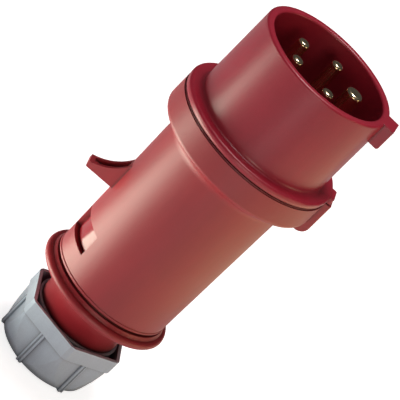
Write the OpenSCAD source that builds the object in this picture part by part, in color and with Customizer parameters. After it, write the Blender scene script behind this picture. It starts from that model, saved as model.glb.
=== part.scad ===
// Five-pole industrial pin and sleeve plug with a screwed cable gland.
// The plug axis is +Z, the open sleeve is at the top, and the gland nut stands on Z = 0.
// The keyway nub, the side lug and the earth pin are at +X; the latch fin is at -X.

/* [Lengths along the axis] */
// Gland nut, rear face to the front of its hexagonal rim
nut_l = 21.5; // [18:0.5:26]
// Plain neck seen between the nut and the gland flange
neck_gap = 12.5; // [9:0.5:18]
// Gland flange between the neck and the housing
gland_flange_l = 6.5; // [5:0.5:9]
// Tapered housing from the gland flange to the back of the collar
body_l = 70.0; // [60:1:90]
// Collar of the housing: what it covers beyond the spigot of the sleeve
collar_end = 2.8; // [2:0.1:4]
// Rubber gasket between the collar and the front flange
gasket_t = 0.5; // [0.4:0.1:2]
// Front flange thickness
flange_t = 2.8; // [2:0.1:4]
// Contact sleeve in front of the flange
sleeve_l = 36.0; // [32:0.5:42]

/* [Contact sleeve] */
// Outside diameter of the contact sleeve
sleeve_d = 57.0; // [50:0.5:70]
// Wall of the contact sleeve
sleeve_wall = 3.1; // [2.4:0.1:4]
// Front flange: how far its edge stands out from the sleeve
flange_over = 5.0; // [4.4:0.1:8]
// Depth from the rim to the face that carries the pins
sleeve_depth = 41.0; // [38:0.5:46]
// Keyway nub: height above the sleeve
key_h = 3.9; // [3:0.1:5]
// Keyway nub: width
key_w = 9.4; // [6:0.1:12]
// Keyway nub: length back from the rim
key_l = 9.0; // [8:0.5:16]
// Keyway nub: angle of its centre from the side lug
key_at = -7; // [-10:1:10]
// Side lug: how far its flat stands out from the flange edge
lug_over = 1.5; // [0.5:0.1:3]
// Side lug: how far the part of it on the collar stands out beyond that
lug_step = 1.0; // [0:0.1:2]
// Side lug: how far it hangs behind the collar
lug_drop = 4.2; // [1:0.1:6]
// Side lug: width
lug_w = 8.0; // [5:0.5:14]

/* [Contacts] */
// Diameter of the circle of pins
pin_circle_d = 27.0; // [24:0.2:30]
// Phase and neutral pin diameter
pin_d = 5.0; // [4:0.1:6]
// Earth pin diameter
earth_d = 7.0; // [6:0.1:8]
// Distance of the pin tips behind the rim
pin_recess = 2.5; // [1.5:0.1:5]
// Distance of the earth pin's tip in front of the other tips
earth_lead = 1.2; // [0:0.1:1.4]
// Radius of the rounded pin tips
pin_nose = 1.2; // [0.6:0.1:2]
// Terminal barrel diameter of the phase and neutral pins
barrel_d = 8.5; // [7.5:0.1:9]
// Terminal barrel diameter of the earth pin
earth_barrel_d = 9.4; // [9:0.1:10]
// Wire hole in a terminal barrel
wire_hole_d = 4.6; // [3:0.1:5.4]
// Terminal screw thread diameter
screw_d = 4.0; // [3:0.1:4.2]

/* [Housing] */
// Housing: how far its front end stands in from the outside of the sleeve
body_in = 2.4; // [1.5:0.1:4]
// Housing: how much its radius falls towards the gland
body_taper = 1.2; // [0.5:0.1:2.4]
// Housing wall
body_wall = 2.7; // [2.2:0.1:3.4]
// Fin: how far its tip stands out from the housing
fin_over = 13.1; // [10:0.1:18]
// Fin: thickness
fin_t = 6.3; // [5:0.1:9]
// Latch window: length along the axis
window_l = 9.5; // [8:0.1:12]
// Latch window: angle it spans
window_a = 46; // [36:1:54]
// Latch window: angle of its centre from the keyway
window_at = 200; // [196:1:204]

/* [Cable gland] */
// Gland flange: how far its lip stands out from the housing
gland_over = 3.1; // [2:0.1:5]
// Cable hole in the rubber seal
cable_d = 17.2; // [12:0.2:20]
// Wall of the rubber seal
seal_wall = 2.2; // [1.6:0.1:3]
// Wall of the clamping cage
cage_wall = 2.3; // [1.8:0.1:3]
// Wall of the threaded neck
neck_wall = 4.0; // [3:0.1:5]
// Nut: how far its flats stand out from the neck
nut_over = 2.95; // [2.6:0.05:4.5]
// Nut: how far its rear mouth clears the cable hole
mouth_over = 1.6; // [0.8:0.1:2.4]
// Nut: length of the hexagonal rim
rim_l = 6.2; // [4:0.1:8]
// Nut: width of one grip rib
rib_w = 2.4; // [1.6:0.1:3.4]
// Nut: angle of its first corner from the keyway side
nut_at = -23; // [-30:1:30]

/* [Fits] */
// Radial clearance of a part that turns or slides
run_gap = 0.06; // [0.02:0.01:0.1]
// Radial clearance of a part that is pushed in for good
seat_gap = 0.03; // [0.02:0.01:0.1]
// Clearance all round the latch head in its window
latch_gap = 0.5; // [0.3:0.05:0.8]

/* [Hidden] */

red = [0.62, 0.14, 0.13];
grey = [0.62, 0.66, 0.70];
dark = [0.10, 0.10, 0.11];
brass = [0.80, 0.66, 0.36];
steel = [0.75, 0.76, 0.78];
rubber = [0.06, 0.06, 0.06];

shoulder_in = 2.5;
shoulder_t = 2.0;
ring_t = 1.7;
spigot_l = sleeve_depth - sleeve_l - flange_t + shoulder_in + shoulder_t + ring_t;
collar_l = spigot_l + collar_end;

z_neck = nut_l + neck_gap;
z_joint = z_neck + gland_flange_l;
z_collar = z_joint + body_l;
z_seam = z_collar + collar_l;
z_flange = z_seam + gasket_t;
z_face = z_flange + flange_t;
z_rim = z_face + sleeve_l;
z_floor = z_rim - sleeve_depth;

sleeve_r = sleeve_d / 2;
bore_r = sleeve_r - sleeve_wall;
flange_r = sleeve_r + flange_over;
lug_r = flange_r + lug_over;
spigot_r = flange_r - 3.5;
spigot_bore_r = bore_r - 0.1;
shoulder_z = z_floor - shoulder_in;
boss_r = bore_r - 2.5;
carrier_r = spigot_bore_r - 4.1;
carrier_z = z_floor - 28;
pin_top = z_rim - pin_recess;
pin_circle_r = pin_circle_d / 2;
barrel_top = z_floor - 8;
terminal_z = carrier_z + 8;
pole_step = 72;
root_over = 0.25;

body_fr = sleeve_r - body_in;
body_rr = body_fr - body_taper;
cavity_fr = body_fr - body_wall;
cavity_rr = body_rr - body_wall;
fin_r = body_rr + fin_over;
fillet_r = 4.5;
z_body = z_collar - fillet_r - 0.6;
window_z = z_joint + 8.8;
fin_z = z_joint + 30.3;
fin_tip_l = 2.4;
fin_curve_r = 18.9;

pivot_r = cavity_rr - 1.9;
pivot_z = carrier_z - 3.4;
bead_r = 1.5;
arm_w = 9;
ear_off = barrel_d / 2 + 3.25;
ear_r = carrier_r - 3.6;

grip_gap = 0.1;
seal_r = cable_d / 2;
cage_r = seal_r + seal_wall + grip_gap;
neck_bore_r = cage_r + cage_wall;
neck_r = neck_bore_r + neck_wall;
nut_bore_r = neck_r + run_gap;
nut_mid_r = neck_r + nut_over;
cup_r = nut_bore_r + 1.05;
mouth_r = seal_r + mouth_over;
gland_flange_r = body_rr + gland_over;
nut_floor = 3.0;
neck_z = nut_floor + 6.0;
ledge_z = neck_z + 17;
shelf_z = neck_z - 1.05;

// Rectangle from (x0, y0) to (x1, y1) with all four corners rounded.
module round_bar(x0, y0, x1, y1, r) {
  translate([x0 + r, y0]) square([x1 - x0 - 2 * r, y1 - y0]);
  translate([x0, y0 + r]) square([x1 - x0, y1 - y0 - 2 * r]);
  for (x = [x0 + r, x1 - r]) {
    for (y = [y0 + r, y1 - r]) translate([x, y]) circle(r = r, $fn = 32);
  }
}

// Plain tube between two heights.
module tube(r0, r1, z0, z1) {
  rotate_extrude($fn = 96) translate([r0, z0]) square([r1 - r0, z1 - z0]);
}

// Side lug on the flange or the collar, a flat pad with rounded edges.
module lug(z0, z1, inner_r, outer_r) {
  translate([0, 0, z0]) {
    linear_extrude(z1 - z0) {
      round_bar(inner_r, -lug_w / 2, outer_r, lug_w / 2, 0.8);
      translate([inner_r, -lug_w / 2]) square([2, lug_w]);
    }
  }
}

// Contact sleeve, foot fillet, front flange, keyway nub and spigot, moulded in one piece.
module front_sleeve() {
  color(red) {
    difference() {
      union() {
        rotate_extrude($fn = 128) {
          round_bar(bore_r, z_floor - 2, sleeve_r, z_rim, 0.9);
          round_bar(bore_r + 0.5, z_flange, flange_r, z_face, 1.1);
          translate([bore_r + 0.5, z_flange]) square([flange_r - bore_r - 0.8, 1.2]);
          difference() {
            translate([sleeve_r - 1, z_face - 0.5]) square([2.4, 1.9]);
            translate([sleeve_r + 1.4, z_face + 1.4]) circle(r = 1.4, $fn = 32);
          }
          translate([boss_r + seat_gap, shoulder_z]) square([bore_r - boss_r, 2.5]);
          translate([spigot_bore_r, z_flange - spigot_l])
            square([spigot_r - spigot_bore_r, spigot_l + 1]);
          translate([bore_r - 0.1, shoulder_z]) square([sleeve_wall, 5]);
        }
        rotate([0, 0, key_at]) translate([0, 0, z_rim - key_l]) {
          linear_extrude(key_l) {
            round_bar(sleeve_r - 1.6, -key_w / 2, sleeve_r + key_h, key_w / 2, 0.5);
          }
        }
        lug(z_flange, z_face - 0.4, bore_r + 4.5, lug_r);
      }
      // rounded mould edge at the rear of the keyway nub
      rotate([0, 0, key_at]) translate([sleeve_r + key_h, 0, z_rim - key_l]) {
        rotate([0, 45, 0]) cube([1.0, key_w + 1, 1.0], center = true);
      }
      // counter-moulded ring groove behind the flange, where the gasket is centred
      rotate_extrude($fn = 96) translate([spigot_r - 0.5, z_flange - 6]) square([1, 1.6]);
    }
  }
}

// Radial blank of one pole: where its barrel, pin and screw holes run.
module at_pole(i) {
  rotate([0, 0, i * pole_step]) translate([pin_circle_r, 0, 0]) children();
}

function pole_pin_r(i) = i == 0 ? earth_d / 2 : pin_d / 2;
function pole_top(i) = i == 0 ? pin_top + earth_lead : pin_top;
function pole_barrel_r(i) = i == 0 ? earth_barrel_d / 2 : barrel_d / 2;

// Dark insulating insert that holds the five contacts.
module contact_carrier() {
  color(dark) {
    difference() {
      rotate_extrude($fn = 96) {
        round_bar(3.2, shoulder_z - 1, boss_r, z_floor, 0.5);
        translate([3.2, shoulder_z - shoulder_t]) square([spigot_bore_r - seat_gap - 3.2, shoulder_t]);
        translate([3.2, carrier_z]) square([carrier_r - 3.2, shoulder_z - carrier_z - 1]);
        translate([0, z_floor - 6]) square([3.4, 4.5]);
      }
      for (i = [0:4]) {
        at_pole(i) {
          translate([0, 0, barrel_top - 1])
            cylinder(r = pole_pin_r(i) + root_over + seat_gap, h = 20, $fn = 32);
          translate([0, 0, carrier_z - 1])
            cylinder(r = pole_barrel_r(i) + seat_gap, h = barrel_top - carrier_z + 1, $fn = 48);
          // raised collar round each pin is cut as a ring in the face
          translate([0, 0, z_floor - 0.7]) {
            difference() {
              cylinder(r = pole_pin_r(i) + 2.0, h = 2, $fn = 48);
              translate([0, 0, -1]) cylinder(r = pole_pin_r(i) + 1.0, h = 4, $fn = 48);
            }
          }
          translate([0, 0, terminal_z]) rotate([0, 90, 0])
            cylinder(r = 3.1, h = carrier_r - pin_circle_r + 1, $fn = 32);
        }
        // slots that separate the terminal chambers
        rotate([0, 0, i * pole_step + pole_step / 2]) {
          translate([9, -0.8, carrier_z - 1]) cube([20, 1.6, 9]);
        }
      }
      rotate([0, 0, window_at]) {
        for (s = [-1, 1]) {
          translate([ear_r, s * ear_off, carrier_z - 1]) cylinder(r = 1.25, h = 6, $fn = 24);
        }
      }
    }
  }
}

// Threaded ring that holds the insert against the shoulder of the sleeve.
module retaining_ring() {
  z0 = shoulder_z - shoulder_t - ring_t;
  color(dark) {
    difference() {
      tube(carrier_r + 0.3, spigot_bore_r - seat_gap, z0, z0 + ring_t);
      for (a = [20:90:290]) {
        rotate([0, 0, a]) translate([carrier_r - 1, -1.5, z0 - 1]) cube([3, 3, 1.9]);
      }
    }
  }
}

// Turned contact: round-nosed pin, shoulder, terminal barrel, wire hole and screw thread hole.
module contact_pin(i) {
  r = pole_pin_r(i);
  b = pole_barrel_r(i);
  top = pole_top(i);
  color(brass) {
    at_pole(i) {
      difference() {
        union() {
          rotate_extrude($fn = 48) {
            translate([0, barrel_top - 1]) square([r, top - pin_nose - barrel_top + 1]);
            translate([0, barrel_top - 1]) square([r - pin_nose, top - barrel_top + 1]);
            intersection() {
              translate([r - pin_nose, top - pin_nose]) circle(r = pin_nose, $fn = 48);
              translate([0, top - pin_nose - 1]) square([r, pin_nose + 2]);
            }
            translate([0, barrel_top - 1]) square([r + root_over, z_floor - barrel_top + 1]);
            difference() {
              translate([0, carrier_z + 1.0]) square([b, barrel_top - carrier_z - 1.0]);
              translate([b - 0.6, barrel_top]) rotate(-45) square([2, 2]);
            }
          }
        }
        translate([0, 0, carrier_z]) cylinder(d = wire_hole_d, h = 14, $fn = 32);
        translate([0, 0, terminal_z]) rotate([0, 90, 0]) cylinder(d = screw_d, h = 8, $fn = 32);
      }
    }
  }
}

// Slotted terminal screw, driven from the outside towards the axis.
module terminal_screw(i) {
  b = pole_barrel_r(i);
  color(steel) {
    at_pole(i) {
      translate([0, 0, terminal_z]) rotate([0, 90, 0]) {
        difference() {
          union() {
            translate([0, 0, 1.0]) cylinder(r = screw_d / 2 - 0.02, h = b, $fn = 32);
            translate([0, 0, b + 0.05]) cylinder(r = 2.9, h = 2.2, $fn = 32);
          }
          translate([0, 0, b + 2.25]) cube([7, 0.9, 2.2], center = true);
        }
      }
    }
  }
}

// Flat rubber gasket squeezed between the collar and the flange.
module gasket() {
  color(rubber) tube(spigot_r + 0.1, flange_r - 2.2, z_seam, z_flange);
}

// Outline of the fin in the plane of the axis; the front edge is a hollow curve.
module fin_outline(extra) {
  difference() {
    translate([body_rr - 2.2, fin_z]) square([fin_r - body_rr + 2.2, 14.2]);
    translate([fin_r + 4.18, fin_z + 20.8]) circle(r = fin_curve_r + extra, $fn = 96);
    translate([fin_r - 0.8, fin_z - 1]) difference() {
      square([2, 1.8]);
      translate([0, 1.8]) circle(r = 0.8, $fn = 32);
    }
  }
}

// Tapered handle housing: collar, lug, fin, latch window and an open rear end.
module rear_housing() {
  rear_z = z_joint + 0.1;
  color(red) {
    difference() {
      union() {
        rotate_extrude($fn = 128) {
          // tapered body
          polygon([[0, rear_z], [body_rr - 0.2, rear_z], [body_rr + 0.25, rear_z + 0.45],
                   [body_rr + 0.25, rear_z + 1.1], [body_rr, rear_z + 1.4], [body_fr, z_body],
                   [body_fr, z_body + 2], [0, z_body + 2]]);
          // hollow curve from the body up to the collar
          difference() {
            translate([0, z_body]) square([body_fr + fillet_r, fillet_r + 0.2]);
            translate([body_fr + fillet_r, z_body]) circle(r = fillet_r, $fn = 64);
          }
          // collar
          translate([0, z_collar]) square([flange_r - 2.2, 4]);
          translate([flange_r - 2.2, z_collar + 2.1]) circle(r = 2.1, $fn = 48);
          translate([0, z_collar + 2.1]) square([flange_r - 0.1, collar_l - 2.6]);
          translate([0, z_collar + 2.1]) square([flange_r - 0.5, collar_l - 2.1]);
        }
        lug(z_collar - lug_drop, z_seam, body_fr - 3, lug_r + lug_step);
        rotate([0, 0, 180]) rotate([90, 0, 0]) {
          linear_extrude(fin_t, center = true) fin_outline(0);
        }
      }
      // inside: spigot bore, then a tapered cavity, then the socket of the gland body
      rotate_extrude($fn = 96) {
        translate([0, z_flange - spigot_l - 0.3]) square([spigot_r + run_gap, spigot_l + 9]);
        polygon([[0, z_joint - 1], [cavity_rr, z_joint - 1], [cavity_rr, z_joint + 1],
                 [cavity_fr, z_body + 1], [cavity_fr + 1.6, z_flange - spigot_l],
                 [0, z_flange - spigot_l]]);
      }
      // hollow in the front edge of the fin
      rotate([0, 0, 180]) rotate([90, 0, 0]) {
        linear_extrude(fin_t - 2.6, center = true) {
          intersection() {
            translate([body_rr + 0.9, fin_z + 2]) square([fin_r - body_rr - 2.6, 30]);
            translate([fin_r + 4.18, fin_z + 20.8]) circle(r = fin_curve_r + 1.7, $fn = 96);
          }
        }
      }
      // latch window, through the wall
      rotate([0, 0, window_at - window_a / 2]) {
        rotate_extrude(angle = window_a, $fn = 128) {
          translate([cavity_rr - 3, window_z]) square([9, window_l]);
        }
      }
      // rounded trailing end of the lug
      translate([0, 0, z_collar - lug_drop]) rotate([90, 0, 0]) {
        linear_extrude(lug_w + 2, center = true) {
          difference() {
            translate([lug_r + lug_step - 4, -1]) square([5, 5]);
            translate([lug_r + lug_step - 4, 4]) circle(r = 4, $fn = 64);
          }
        }
      }
    }
  }
}

// Clip behind the insert that carries the pivot bead of the latch arm.
module latch_bracket() {
  z0 = carrier_z - 6.4;
  color(dark) {
    rotate([0, 0, window_at]) {
      difference() {
        union() {
          intersection() {
            translate([ear_r - 3.2, -arm_w / 2 - 1.6, z0]) cube([12, arm_w + 3.2, 6.4]);
            translate([0, 0, z0 - 1]) cylinder(r = cavity_rr + 0.5, h = 9, $fn = 96);
          }
          for (s = [-1, 1]) {
            translate([ear_r, s * ear_off, carrier_z - 2.4]) cylinder(r = 2.9, h = 2.4, $fn = 32);
          }
        }
        translate([pivot_r, 0, pivot_z]) rotate([90, 0, 0]) {
          cylinder(r = bead_r + run_gap, h = arm_w + 0.4, center = true, $fn = 48);
        }
        translate([pivot_r - 1.2, -arm_w / 2 - 0.2, z0 - 1]) cube([2.4, arm_w + 0.4, 4]);
        for (s = [-1, 1]) {
          translate([ear_r, s * ear_off, carrier_z - 8]) cylinder(r = 1.5, h = 9, $fn = 24);
          translate([ear_r, s * ear_off, carrier_z - 10.4]) cylinder(r = 2.6, h = 8, $fn = 32);
        }
      }
    }
  }
}

// Pan-head screw that holds the clip on the back of the insert.
module latch_screw(s) {
  color(steel) {
    rotate([0, 0, window_at]) translate([ear_r, s * ear_off, 0]) {
      difference() {
        union() {
          translate([0, 0, carrier_z - 3]) cylinder(r = 1.23, h = 7.6, $fn = 24);
          translate([0, 0, carrier_z - 4.3]) cylinder(r = 2.4, h = 1.88, $fn = 32);
        }
        translate([0, 0, carrier_z - 4.3]) cube([6, 0.7, 1.6], center = true);
      }
    }
  }
}

// Sprung latch arm; its curved head fills the window of the housing from inside.
module latch_arm() {
  head_r = body_rr - 1.65;
  z0 = window_z + latch_gap;
  z1 = window_z + window_l - latch_gap;
  half = window_a / 2 - 1.4;
  color(red) {
    rotate([0, 0, window_at]) {
      translate([pivot_r, 0, pivot_z]) rotate([90, 0, 0]) {
        cylinder(r = bead_r, h = arm_w, center = true, $fn = 48);
      }
      translate([pivot_r - 0.8, -arm_w / 2, z0]) cube([1.6, arm_w, pivot_z - z0]);
      for (s = [-1, 1]) {
        translate([pivot_r - 2.2, s * 2.6 - 0.6, z0 + 1]) cube([1.5, 1.2, pivot_z - z0 - 6]);
      }
      rotate([0, 0, -half]) {
        rotate_extrude(angle = 2 * half, $fn = 128) {
          round_bar(pivot_r - 0.8, z0, head_r, z1, 0.4);
        }
      }
    }
  }
}

// Gland body: flange with a rounded lip, plug-in spigot and threaded neck.
module gland_body() {
  color(red) {
    rotate_extrude($fn = 128) {
      difference() {
        union() {
          translate([0, neck_z]) square([neck_r, z_joint - neck_z - 1]);
          polygon([[0, z_neck], [gland_flange_r - 3.4, z_neck],
                   [gland_flange_r - 2.4, z_neck + 0.9], [gland_flange_r - 1.6, z_neck + 1.2],
                   [gland_flange_r - 1.2, z_neck + 3.6], [gland_flange_r - 2.0, z_neck + 4.4],
                   [body_rr + 0.3, z_joint - 0.7], [0, z_joint - 0.7]]);
          translate([gland_flange_r - 1.7, z_neck + 2.7]) circle(r = 1.7, $fn = 48);
          translate([0, z_joint - 1.5]) square([body_rr - 1.0, 1.6]);
          translate([0, z_joint - 1]) square([body_rr - body_wall - seat_gap, 7]);
        }
        translate([-1, neck_z - 1]) square([neck_bore_r + 1, ledge_z - neck_z + 1]);
        translate([-1, ledge_z - 1]) square([neck_bore_r - 0.4, z_joint + 10 - ledge_z]);
        polygon([[0, z_joint - 4], [neck_bore_r - 1.4, z_joint - 4],
                 [body_rr - body_wall - 2.2, z_joint + 7], [0, z_joint + 7]]);
      }
    }
  }
}

// Split clamping cage; its fingers close on the seal when the nut is tightened.
module clamp_cage() {
  color(grey) {
    difference() {
      rotate_extrude($fn = 96) {
        translate([cage_r, neck_z]) square([neck_bore_r - seat_gap - cage_r, ledge_z - neck_z]);
        polygon([[cage_r, neck_z + 1], [cage_r, nut_floor + 1], [cage_r + 0.7, nut_floor + 1],
                 [neck_bore_r - 0.1, shelf_z], [neck_bore_r - 0.1, neck_z + 1]]);
      }
      for (a = [0:36:324]) {
        rotate([0, 0, a]) translate([cage_r - 1, -0.6, 0]) cube([6, 1.2, 14]);
      }
    }
  }
}

// Rubber seal gripped by the cage.
module cable_seal() {
  color(rubber) {
    rotate_extrude($fn = 96) {
      round_bar(seal_r, nut_floor + 2, seal_r + seal_wall, ledge_z - 2, 0.5);
    }
  }
}

// Slip ring between the end of the neck and the shelf inside the nut.
module slip_ring() {
  color(steel) tube(neck_bore_r + 0.4, nut_bore_r - 0.1, shelf_z, neck_z);
}

// Gland nut: hexagonal rim, thin inner cup with hollow corners, ribbed and domed grip.
module gland_nut() {
  hex_k = 1 / cos(30);
  dome_r = nut_mid_r + 1.6;
  color(grey) {
    rotate([0, 0, nut_at]) {
      difference() {
        union() {
          // hexagonal rim with eased corners
          intersection() {
            translate([0, 0, nut_l - rim_l]) {
              cylinder(r = nut_mid_r * hex_k, h = rim_l, $fn = 6);
            }
            cylinder(r = nut_mid_r * hex_k - 0.55, h = nut_l, $fn = 96);
          }
          // recessed panels: a smaller hexagon that runs out into a round rear end
          intersection() {
            cylinder(r = (nut_mid_r - 0.9) * hex_k, h = nut_l - 1, $fn = 6);
            rotate_extrude($fn = 96) {
              polygon([[0, 0], [nut_mid_r - 2.2, 0], [nut_mid_r - 1.1, 0.7],
                       [nut_mid_r - 0.65, 2.0], [dome_r - 1.0, 7], [dome_r, 13],
                       [dome_r + 0.3, nut_l], [0, nut_l]]);
            }
          }
          // six grip ribs on the middle of the flats
          for (k = [0:5]) {
            rotate([0, 0, 30 + 60 * k]) translate([0, 0, 0.3]) linear_extrude(nut_l - rim_l) {
              difference() {
                round_bar(nut_mid_r - 3, -rib_w / 2, nut_mid_r, rib_w / 2, 0.55);
                translate([nut_mid_r, 0]) circle(r = 0.35, $fn = 16);
              }
            }
          }
        }
        // hollow corners between the rim and the inner cup
        difference() {
          translate([0, 0, nut_l - rim_l + 0.6]) {
            cylinder(r = (nut_mid_r - 1.1) * hex_k - 0.3, h = rim_l, $fn = 6);
          }
          cylinder(r = cup_r, h = nut_l + 1, $fn = 96);
        }
        // top of the inner cup lies a little below the rim
        translate([0, 0, nut_l - 0.6]) cylinder(r = cup_r + 0.2, h = 2, $fn = 96);
        // bore for the neck, clamping cone and cable hole
        rotate_extrude($fn = 96) {
          polygon([[0, -1], [mouth_r, -1], [mouth_r, nut_floor], [cage_r + 0.8, nut_floor],
                   [cage_r + 0.8, nut_floor + 0.7], [neck_bore_r + 0.3, shelf_z],
                   [nut_bore_r, shelf_z],
                   [nut_bore_r, nut_l + 1], [0, nut_l + 1]]);
        }
      }
    }
  }
}

front_sleeve();
contact_carrier();
retaining_ring();
contact_pin(0);  // pin_earth
contact_pin(1);  // pin_l1
contact_pin(2);  // pin_l2
contact_pin(3);  // pin_l3
contact_pin(4);  // pin_neutral
terminal_screw(0);  // screw_earth
terminal_screw(1);  // screw_l1
terminal_screw(2);  // screw_l2
terminal_screw(3);  // screw_l3
terminal_screw(4);  // screw_neutral
gasket();
rear_housing();
latch_bracket();
latch_screw(-1);  // latch_screw_a
latch_screw(1);  // latch_screw_b
latch_arm();
gland_body();
clamp_cage();
cable_seal();
slip_ring();
gland_nut();
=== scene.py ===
import math

import bpy
from mathutils import Matrix, Vector


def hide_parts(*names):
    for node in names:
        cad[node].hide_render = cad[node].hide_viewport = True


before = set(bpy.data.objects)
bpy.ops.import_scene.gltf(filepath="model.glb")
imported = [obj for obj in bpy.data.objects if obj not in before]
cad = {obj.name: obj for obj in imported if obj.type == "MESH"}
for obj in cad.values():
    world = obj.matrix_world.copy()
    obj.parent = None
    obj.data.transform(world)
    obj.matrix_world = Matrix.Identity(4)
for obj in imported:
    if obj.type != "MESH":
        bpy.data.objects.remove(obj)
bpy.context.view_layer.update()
bpy.ops.object.select_all(action="DESELECT")

# ---------------------------------------------------------------------------
# Camera. It stands a little to the left of the front and looks down on the
# plug's middle at about 25 degrees. It is rolled, so that the open sleeve points
# to the upper right.
MM = 0.001
camera_place = Vector((-201.16, -1140.84, 617.12)) * MM
camera_aim = Vector((1.13, -0.2, 88.78)) * MM
camera_roll = math.radians(45.06)

camera_data = bpy.data.cameras.new("camera")
camera_data.lens = 318.6
camera_data.sensor_width = 36.0
camera_data.clip_end = 20.0
camera = bpy.data.objects.new("camera", camera_data)
bpy.context.scene.collection.objects.link(camera)
look = (camera_aim - camera_place).to_track_quat("-Z", "Y").to_matrix().to_4x4()
camera.matrix_world = (
    Matrix.Translation(camera_place) @ look @ Matrix.Rotation(camera_roll, 4, "Z")
)
bpy.context.scene.camera = camera
bpy.context.scene.view_settings.view_transform = "Standard"


# ---------------------------------------------------------------------------
# Studio. A pale round table top just under the plug, in a room that is nearly
# dark. Both are white where the camera sees them, and the table keeps the
# plug's shadow.
class Wire:
    """One output socket of a material's nodes. Arithmetic on it adds Math nodes."""

    def __init__(self, socket):
        self.socket = socket

    def node(self, kind, settings, inputs, out=0):
        """A new node of the same tree, its settings first, then its sockets."""
        tree = self.socket.id_data
        new = tree.nodes.new(kind)
        for name, value in settings.items():
            setattr(new, name, value)
        for name, value in inputs.items():
            if isinstance(value, Wire):
                tree.links.new(value.socket, new.inputs[name])
            else:
                new.inputs[name].default_value = value
        return Wire(new.outputs[out])

    def maths(self, operation, first, second):
        """One Math node, on values only."""
        return self.node("ShaderNodeMath", {"operation": operation}, {0: first, 1: second})

    def __add__(self, other):
        return self.maths("ADD", self, other)

    def __mul__(self, other):
        return self.maths("MULTIPLY", self, other)

    def __sub__(self, other):
        return self.maths("SUBTRACT", self, other)

    def __rsub__(self, other):
        return self.maths("SUBTRACT", other, self)

    __radd__ = __add__
    __rmul__ = __mul__


floor_radius = 2.5
floor_height = -0.4 * MM
floor_colour = (0.86, 0.86, 0.86, 1.0)
white = (1.0, 1.0, 1.0, 1.0)
glow_to_camera = 0.80
glow_in_mirrors = 0.06
room_level = 0.05

bpy.ops.mesh.primitive_circle_add(
    vertices=96, radius=floor_radius, fill_type="NGON", location=(0, 0, floor_height)
)
floor = bpy.context.object
floor.name = "floor"
floor_paint = bpy.data.materials.new("floor_paint")
floor_paint.use_nodes = True
floor_nodes = floor_paint.node_tree.nodes
floor_nodes.clear()
floor_out = floor_nodes.new("ShaderNodeOutputMaterial")
ray = floor_nodes.new("ShaderNodeLightPath")
seen = Wire(ray.outputs["Is Camera Ray"])
mirrored = Wire(ray.outputs["Is Glossy Ray"]) + Wire(ray.outputs["Is Transmission Ray"])
strength = seen * glow_to_camera + mirrored * glow_in_mirrors
glow = seen.node("ShaderNodeEmission", {}, {"Color": white, "Strength": strength})
matt = seen.node("ShaderNodeBsdfDiffuse", {}, {"Color": floor_colour})
both = seen.node("ShaderNodeAddShader", {}, {0: glow, 1: matt})
floor_paint.node_tree.links.new(both.socket, floor_out.inputs["Surface"])
floor.data.materials.append(floor_paint)

world = bpy.data.worlds.new("room")
bpy.context.scene.world = world
world.use_nodes = True
room = world.node_tree.nodes["Background"]
path = world.node_tree.nodes.new("ShaderNodeLightPath")
room_strength = Wire(path.outputs["Is Camera Ray"]) * (1 - room_level) + room_level
world.node_tree.links.new(room_strength.socket, room.inputs["Strength"])
room.inputs["Color"].default_value = white

# ---------------------------------------------------------------------------
# Lamps. Three flat panels lie on the table, shine up and show as long soft
# highlights in the upright walls. Four square soft boxes stand round the plug:
# two in front, one on the right, and the strongest overhead.
panel_lift = 2 * MM
box_aim = Vector((0, 0, 90)) * MM


def add_lamp(name, power, colour):
    """A square area lamp, linked to the scene and not yet sized or placed."""
    lamp_data = bpy.data.lights.new(name, "AREA")
    lamp_data.energy = power
    lamp_data.color = colour
    lamp = bpy.data.objects.new(name, lamp_data)
    bpy.context.scene.collection.objects.link(lamp)
    return lamp


def floor_panel(name, azimuth, near, far, width, power, colour):
    """A rectangular lamp that lies on the table, from near to far of the plug's axis."""
    lamp = add_lamp(name, power, colour)
    lamp.data.shape = "RECTANGLE"
    lamp.data.size = far - near
    lamp.data.size_y = width
    lamp.visible_camera = False
    turn = Matrix.Rotation(math.radians(azimuth), 4, "Z")
    middle = Matrix.Translation(Vector(((near + far) / 2, 0, panel_lift)))
    face_up = Matrix.Rotation(math.pi, 4, "X")
    lamp.matrix_world = turn @ middle @ face_up


def soft_box(name, azimuth, height, reach, size, power, colour):
    """A square lamp above the table, aimed at the middle of the plug."""
    lamp = add_lamp(name, power, colour)
    lamp.data.size = size
    turn = math.radians(azimuth)
    place = Vector((reach * math.cos(turn), reach * math.sin(turn), height))
    aim = (box_aim - place).to_track_quat("-Z", "Y").to_matrix().to_4x4()
    lamp.matrix_world = Matrix.Translation(place) @ aim


pale_green = (0.96, 1.0, 0.82)
amber = (1.0, 0.74, 0.30)
deep_amber = (1.0, 0.80, 0.25)
peach = (1.0, 0.82, 0.66)
rose_white = (1.0, 0.96, 0.96)
warm_amber = (1.0, 0.76, 0.44)
pale_rose = (1.0, 0.90, 0.90)
floor_panel("left_panel", -173, near=0.06, far=0.40, width=0.10, power=0.64, colour=pale_green)
floor_panel("right_panel", -30, near=0.10, far=0.36, width=0.22, power=0.10, colour=amber)
floor_panel("right_far", 15, near=0.12, far=0.42, width=0.24, power=0.14, colour=deep_amber)
soft_box("front_low", -80, height=0.40, reach=1.2, size=0.4, power=2.2, colour=peach)
soft_box("front_card", -85, height=0.06, reach=0.5, size=0.12, power=0.08, colour=rose_white)
soft_box("right_low", -10, height=0.35, reach=1.1, size=0.4, power=1.2, colour=warm_amber)
soft_box("top_box", 90, height=1.3, reach=0.10, size=0.4, power=8.6, colour=pale_rose)

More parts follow.
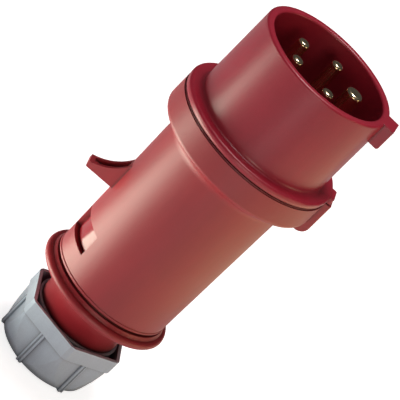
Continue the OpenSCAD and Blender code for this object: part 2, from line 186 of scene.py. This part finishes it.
# ---------------------------------------------------------------------------
# Rear housing, the handle of the plug. One moulding of brick-red polyamide from
# a spark-eroded tool, so its skin has a fine matt grain. It closes over the
# spigot of the front sleeve, with the gasket in the seam.
nylon_ior = 1.53
cloud_scale = 55.0
streak_scale = 420.0
streak_stretch = (1.0, 1.0, 0.12)
cloud_share = 0.16
streak_share = 0.10
grain_share = 0.10
shade_floor = 0.10
shade_gain = 6.0
darker = 0.90
lighter = 1.14
# Colour factor of the painted shade in creases, seams and recesses.
painted_shade_factor = 0.25
cloud_roughness = 0.06
grain_roughness = 0.10
mean_roughness = 0.08
MIX_FACTOR = 0
MIX_FIRST = 6
MIX_SECOND = 7
MIX_RESULT = 2


def tint(colour, factor):
    """A colour made darker or lighter, with its alpha."""
    return tuple(min(1.0, c * factor) for c in colour) + (1.0,)


def blend(factor, first, second):
    """A Mix node between two colours."""
    sockets = {MIX_FACTOR: factor, MIX_FIRST: first, MIX_SECOND: second}
    return factor.node("ShaderNodeMix", {"data_type": "RGBA"}, sockets, out=MIX_RESULT)


def moulded(name, colour, roughness, gloss, grain_scale, grain_depth, edge, painted_shade_reach=1.2 * MM):
    """Moulded plastic: faint flow clouds, grain, eased edges, and painted shade that darkens
    its creases and recesses.
    """
    material = bpy.data.materials.new(name)
    material.use_nodes = True
    tree = material.node_tree
    shader = tree.nodes["Principled BSDF"]
    place = Wire(tree.nodes.new("ShaderNodeTexCoord").outputs["Object"])
    along = place.node("ShaderNodeMapping", {}, {"Vector": place, "Scale": streak_stretch})
    clouds = place.node(
        "ShaderNodeTexNoise", {}, {"Vector": place, "Scale": cloud_scale, "Detail": 3.0}
    )
    streaks = place.node(
        "ShaderNodeTexNoise", {}, {"Vector": along, "Scale": streak_scale, "Detail": 2.0}
    )
    grain = place.node(
        "ShaderNodeTexNoise", {}, {"Vector": place, "Scale": grain_scale, "Detail": 2.0}
    )

    shade = clouds * cloud_share + streaks * streak_share + grain * grain_share
    shade = (shade - shade_floor) * shade_gain
    base = blend(shade, tint(colour, darker), tint(colour, lighter))
    # Painted shade: where the ambient-occlusion test finds the surface closed in (creases,
    # seams, recesses, cups), the colour darkens towards a quarter of itself.
    painted_shade_ao = place.node(
        "ShaderNodeAmbientOcclusion", {"samples": 8}, {"Distance": painted_shade_reach}, out="AO"
    )
    base = blend(painted_shade_ao * painted_shade_ao, tint(colour, painted_shade_factor), base)
    tree.links.new(base.socket, shader.inputs["Base Color"])

    rough = grain * grain_roughness + clouds * cloud_roughness + (roughness - mean_roughness)
    tree.links.new(rough.socket, shader.inputs["Roughness"])

    eased = place.node("ShaderNodeBevel", {"samples": 4}, {"Radius": edge})
    bump = place.node(
        "ShaderNodeBump",
        {},
        {"Strength": 1.0, "Distance": grain_depth, "Height": grain, "Normal": eased},
    )
    tree.links.new(bump.socket, shader.inputs["Normal"])
    shader.inputs["IOR"].default_value = nylon_ior
    shader.inputs["Specular IOR Level"].default_value = gloss
    return material


def coat(material, *names):
    """Give these pieces one finish and no other."""
    for name in names:
        cad[name].data.materials.clear()
        cad[name].data.materials.append(material)


brick_red = (0.40, 0.018, 0.030)
red_eroded = moulded(
    "red_eroded",
    brick_red,
    roughness=0.45,
    gloss=0.85,
    grain_scale=2600.0,
    grain_depth=0.020 * MM,
    edge=0.30 * MM,
)
coat(red_eroded, "rear_housing")

# ---------------------------------------------------------------------------
# Latch arm. A sprung tongue of the same red polyamide, held by its pivot bead
# in the clip. Its head stands in the window of the housing, worn shiny by the
# fingers that press it.
red_worn = moulded(
    "red_worn",
    brick_red,
    roughness=0.14,
    gloss=0.85,
    grain_scale=2600.0,
    grain_depth=0.006 * MM,
    edge=0.30 * MM,
)
coat(red_worn, "latch_arm")

# ---------------------------------------------------------------------------
# Gland body, moulded in red with its neck and seated in the rear of the housing.
# The nut runs on a right-hand thread of 2 mm pitch at the rear of the neck, cut
# here by a triangle that is swept round the neck with its flat side inwards.
neck_radius = 17.2 * MM
thread_start = 8.2 * MM
thread_pitch = 2.0 * MM
thread_turns = 6
thread_depth = 0.62 * MM
thread_steps = 96
cutter_radius = 0.9 * MM
cutter_flat = cutter_radius / 2
cutter_place = (neck_radius - thread_depth + cutter_flat, 0, thread_start)
quarter_turn = math.pi / 2
weld_distance = 0.002 * MM

gland = cad["gland_body"].copy()
gland.data = gland.data.copy()
gland.name = "threaded_gland"
bpy.context.scene.collection.objects.link(gland)
bpy.context.view_layer.objects.active = gland
gland.select_set(True)
bpy.ops.object.mode_set(mode="EDIT")
bpy.ops.mesh.select_all(action="SELECT")
bpy.ops.mesh.remove_doubles(threshold=weld_distance)
bpy.ops.object.mode_set(mode="OBJECT")
gland.select_set(False)

bpy.ops.mesh.primitive_circle_add(vertices=3, radius=cutter_radius, fill_type="NOTHING")
groove = bpy.context.object
groove.name = "thread_groove"
bpy.ops.object.mode_set(mode="EDIT")
bpy.ops.transform.rotate(value=quarter_turn, orient_axis="Z", center_override=(0, 0, 0))
bpy.ops.transform.rotate(value=quarter_turn, orient_axis="X", center_override=(0, 0, 0))
bpy.ops.transform.translate(value=cutter_place)
bpy.ops.object.mode_set(mode="OBJECT")
helix = groove.modifiers.new("helix", "SCREW")
helix.angle = 2 * math.pi
helix.screw_offset = thread_pitch
helix.iterations = thread_turns
helix.steps = thread_steps
helix.render_steps = thread_steps
helix.use_merge_vertices = False
bpy.ops.object.modifier_apply(modifier="helix")
bpy.ops.object.mode_set(mode="EDIT")
bpy.ops.mesh.select_all(action="SELECT")
bpy.ops.mesh.fill_holes(sides=4)
bpy.ops.mesh.normals_make_consistent(inside=False)
bpy.ops.object.mode_set(mode="OBJECT")
groove.select_set(False)

bpy.context.view_layer.objects.active = gland
gland.select_set(True)
cut = gland.modifiers.new("thread", "BOOLEAN")
cut.operation = "DIFFERENCE"
cut.solver = "EXACT"
cut.object = groove
bpy.ops.object.modifier_apply(modifier="thread")
bpy.data.objects.remove(groove)
gland.select_set(False)
gland.data.materials.clear()
gland.data.materials.append(red_eroded)
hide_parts("gland_body")

# ---------------------------------------------------------------------------
# Front sleeve, which enters the socket, with its flange, side lug and keyway
# nub. The same polyamide, moulded in a polished tool, so it is smoother and a
# little deeper in colour.
deep_red = (0.42, 0.016, 0.042)
red_smooth = moulded(
    "red_smooth",
    deep_red,
    roughness=0.36,
    gloss=0.7,
    grain_scale=1500.0,
    grain_depth=0.008 * MM,
    edge=0.30 * MM,
)
coat(red_smooth, "front_sleeve")

# ---------------------------------------------------------------------------
# Contact carrier, with the retaining ring and the latch clip behind it. Moulded
# in a near-black, heat-proof plastic. The ring holds the carrier in the sleeve,
# and two screws hold the clip on the back of the carrier.
near_black = (0.012, 0.009, 0.009)
black_insert = moulded(
    "black_insert",
    near_black,
    roughness=0.38,
    gloss=0.5,
    grain_scale=2200.0,
    grain_depth=0.010 * MM,
    edge=0.20 * MM,
)
coat(black_insert, "contact_carrier", "retaining_ring", "latch_bracket")

# ---------------------------------------------------------------------------
# Gasket in the seam and cable seal in the gland. Both are rings of soft black
# rubber, squeezed in place by the pieces round them.
soot_black = (0.010, 0.010, 0.010)
black_rubber = moulded(
    "black_rubber",
    soot_black,
    roughness=0.62,
    gloss=0.5,
    grain_scale=1800.0,
    grain_depth=0.020 * MM,
    edge=0.20 * MM,
)
coat(black_rubber, "gasket", "cable_seal")

# ---------------------------------------------------------------------------
# Gland nut and the clamping cage inside it. Blue-grey polyamide, moulded smooth.
# The nut screws over the neck and squeezes the fingers of the cage round the
# cable. Its inner cup is darkened by painted shade that reaches 4 mm in.
blue_grey = (0.62, 0.74, 0.92)
grey_polyamide = moulded(
    "grey_polyamide",
    blue_grey,
    roughness=0.24,
    gloss=0.7,
    grain_scale=2000.0,
    grain_depth=0.004 * MM,
    edge=0.25 * MM,
    # Painted shade reaches 4 mm here, so that it darkens the nut's inner cup.
    painted_shade_reach=4.0 * MM,
)
coat(grey_polyamide, "gland_nut", "clamp_cage")

# ---------------------------------------------------------------------------
# Contacts: four pins and the thicker earth pin. Turned from brass bar, so they
# have the fine rings of the lathe, and held in the carrier by their barrels.
ring_scale = 0.314
dull = 0.82
bright = 1.08
tarnish_scale = 240.0
tarnish_roughness = 0.12
ring_roughness = 0.04
ring_depth = 0.006 * MM


def turned(name, colour, roughness, feed):
    """Turned metal: rings one feed apart round Z, and a faint cloudy tarnish."""
    material = bpy.data.materials.new(name)
    material.use_nodes = True
    tree = material.node_tree
    shader = tree.nodes["Principled BSDF"]
    place = Wire(tree.nodes.new("ShaderNodeTexCoord").outputs["Object"])
    rings = place.node(
        "ShaderNodeTexWave",
        {"bands_direction": "Z"},
        {"Vector": place, "Scale": ring_scale / feed, "Distortion": 0.4, "Detail": 1.0},
        out="Fac",
    )
    tarnish = place.node(
        "ShaderNodeTexNoise", {}, {"Vector": place, "Scale": tarnish_scale, "Detail": 4.0}
    )
    base = blend(tarnish, tint(colour, dull), tint(colour, bright))
    tree.links.new(base.socket, shader.inputs["Base Color"])
    rough = tarnish * tarnish_roughness + rings * ring_roughness + (roughness - mean_roughness)
    tree.links.new(rough.socket, shader.inputs["Roughness"])
    bump = place.node(
        "ShaderNodeBump", {}, {"Strength": 0.3, "Distance": ring_depth, "Height": rings}
    )
    tree.links.new(bump.socket, shader.inputs["Normal"])
    shader.inputs["Metallic"].default_value = 1.0
    return material


brass_yellow = (0.90, 0.76, 0.50)
turned_brass = turned("turned_brass", brass_yellow, roughness=0.22, feed=0.2 * MM)
coat(turned_brass, "pin_l1", "pin_l2", "pin_l3", "pin_neutral", "pin_earth")

# ---------------------------------------------------------------------------
# Terminal screws, the two screws of the clip, and the slip ring. Zinc-plated
# steel. Each terminal screw clamps one wire in its contact, and the ring lies
# between the end of the neck and the shelf inside the nut.
zinc_grey = (0.62, 0.62, 0.60)
plated_steel = turned("plated_steel", zinc_grey, roughness=0.30, feed=0.4 * MM)
coat(plated_steel, "screw_l1", "screw_l2", "screw_l3", "screw_neutral", "screw_earth")
coat(plated_steel, "latch_screw_a", "latch_screw_b", "slip_ring")
